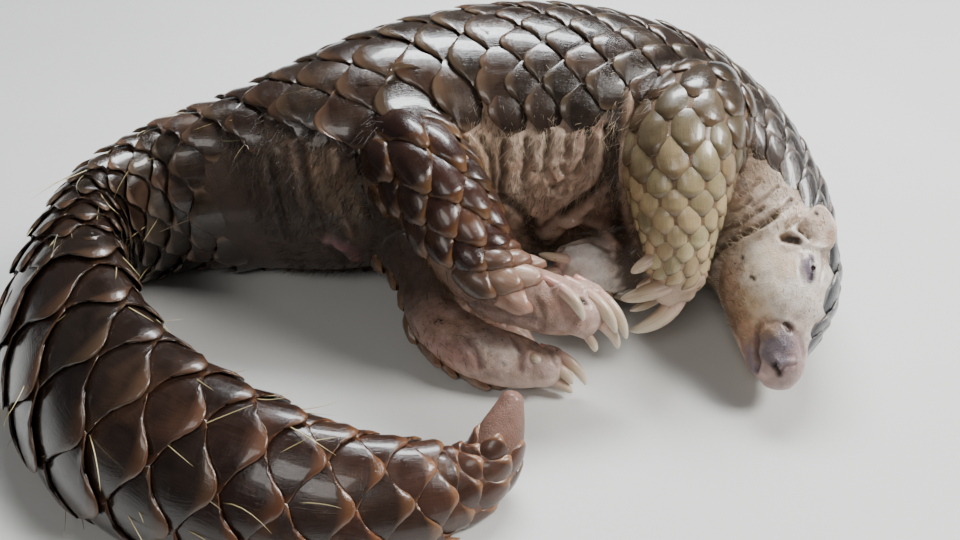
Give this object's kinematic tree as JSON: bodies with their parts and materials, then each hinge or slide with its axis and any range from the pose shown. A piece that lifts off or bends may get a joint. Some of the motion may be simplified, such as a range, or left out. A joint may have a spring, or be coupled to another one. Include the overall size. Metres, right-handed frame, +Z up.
{
  "type": "pangolin model",
  "caption": "Life-size still model of a pangolin lying on its left side, with overlapping scales and its tail curled forward round its belly.",
  "frame": {"origin": "middle of the underside, on the floor plane", "axes": "+X towards the head end, -Y towards the belly and the curled tail, +Z up"},
  "size_m": [0.486, 0.355, 0.1601],
  "materials": {
    "scale": "wet dark umber horn scales with paler worn edges",
    "limb_scale": "wet brown to cream-olive horn scales on the legs",
    "skin": "pale pinkish bare skin with folds and specks of dirt",
    "claw": "smooth ivory-olive horn, pink at the base",
    "eye": "dark wet eye",
    "hair": "sparse pale brown bristles"
  },
  "bodies": {
    "root": {"tail_tip": "scale", "tail_6": "scale", "tail_5": "scale", "tail_4": "scale", "tail_3": "scale", "tail_2": "scale", "tail_1": "scale", "rump": "scale", "abdomen": "scale", "chest": "scale", "neck": "scale", "head": "skin", "eye_right": "eye", "ear_right": "skin", "eye_left": "eye", "ear_left": "skin", "thigh_right": "limb_scale", "shank_right": "limb_scale", "foot_right": "skin", "thigh_left": "limb_scale", "shank_left": "limb_scale", "foot_left": "skin", "upper_arm_right": "limb_scale", "forearm_right": "limb_scale", "paw_right": "skin", "forearm_left": "limb_scale", "paw_left": "skin", "claw_hind_right_1": "claw", "claw_hind_right_2": "claw", "claw_hind_right_3": "claw", "claw_hind_right_4": "claw", "claw_hind_right_5": "claw", "claw_hind_left_1": "claw", "claw_hind_left_2": "claw", "claw_hind_left_3": "claw", "claw_hind_left_4": "claw", "claw_hind_left_5": "claw", "claw_fore_right_1": "claw", "claw_fore_right_2": "claw", "claw_fore_right_3": "claw", "claw_fore_right_4": "claw", "claw_fore_right_5": "claw", "claw_fore_left_1": "claw", "claw_fore_left_2": "claw", "claw_fore_left_3": "claw", "claw_fore_left_4": "claw", "claw_fore_left_5": "claw"}
  },
  "joints": []
}
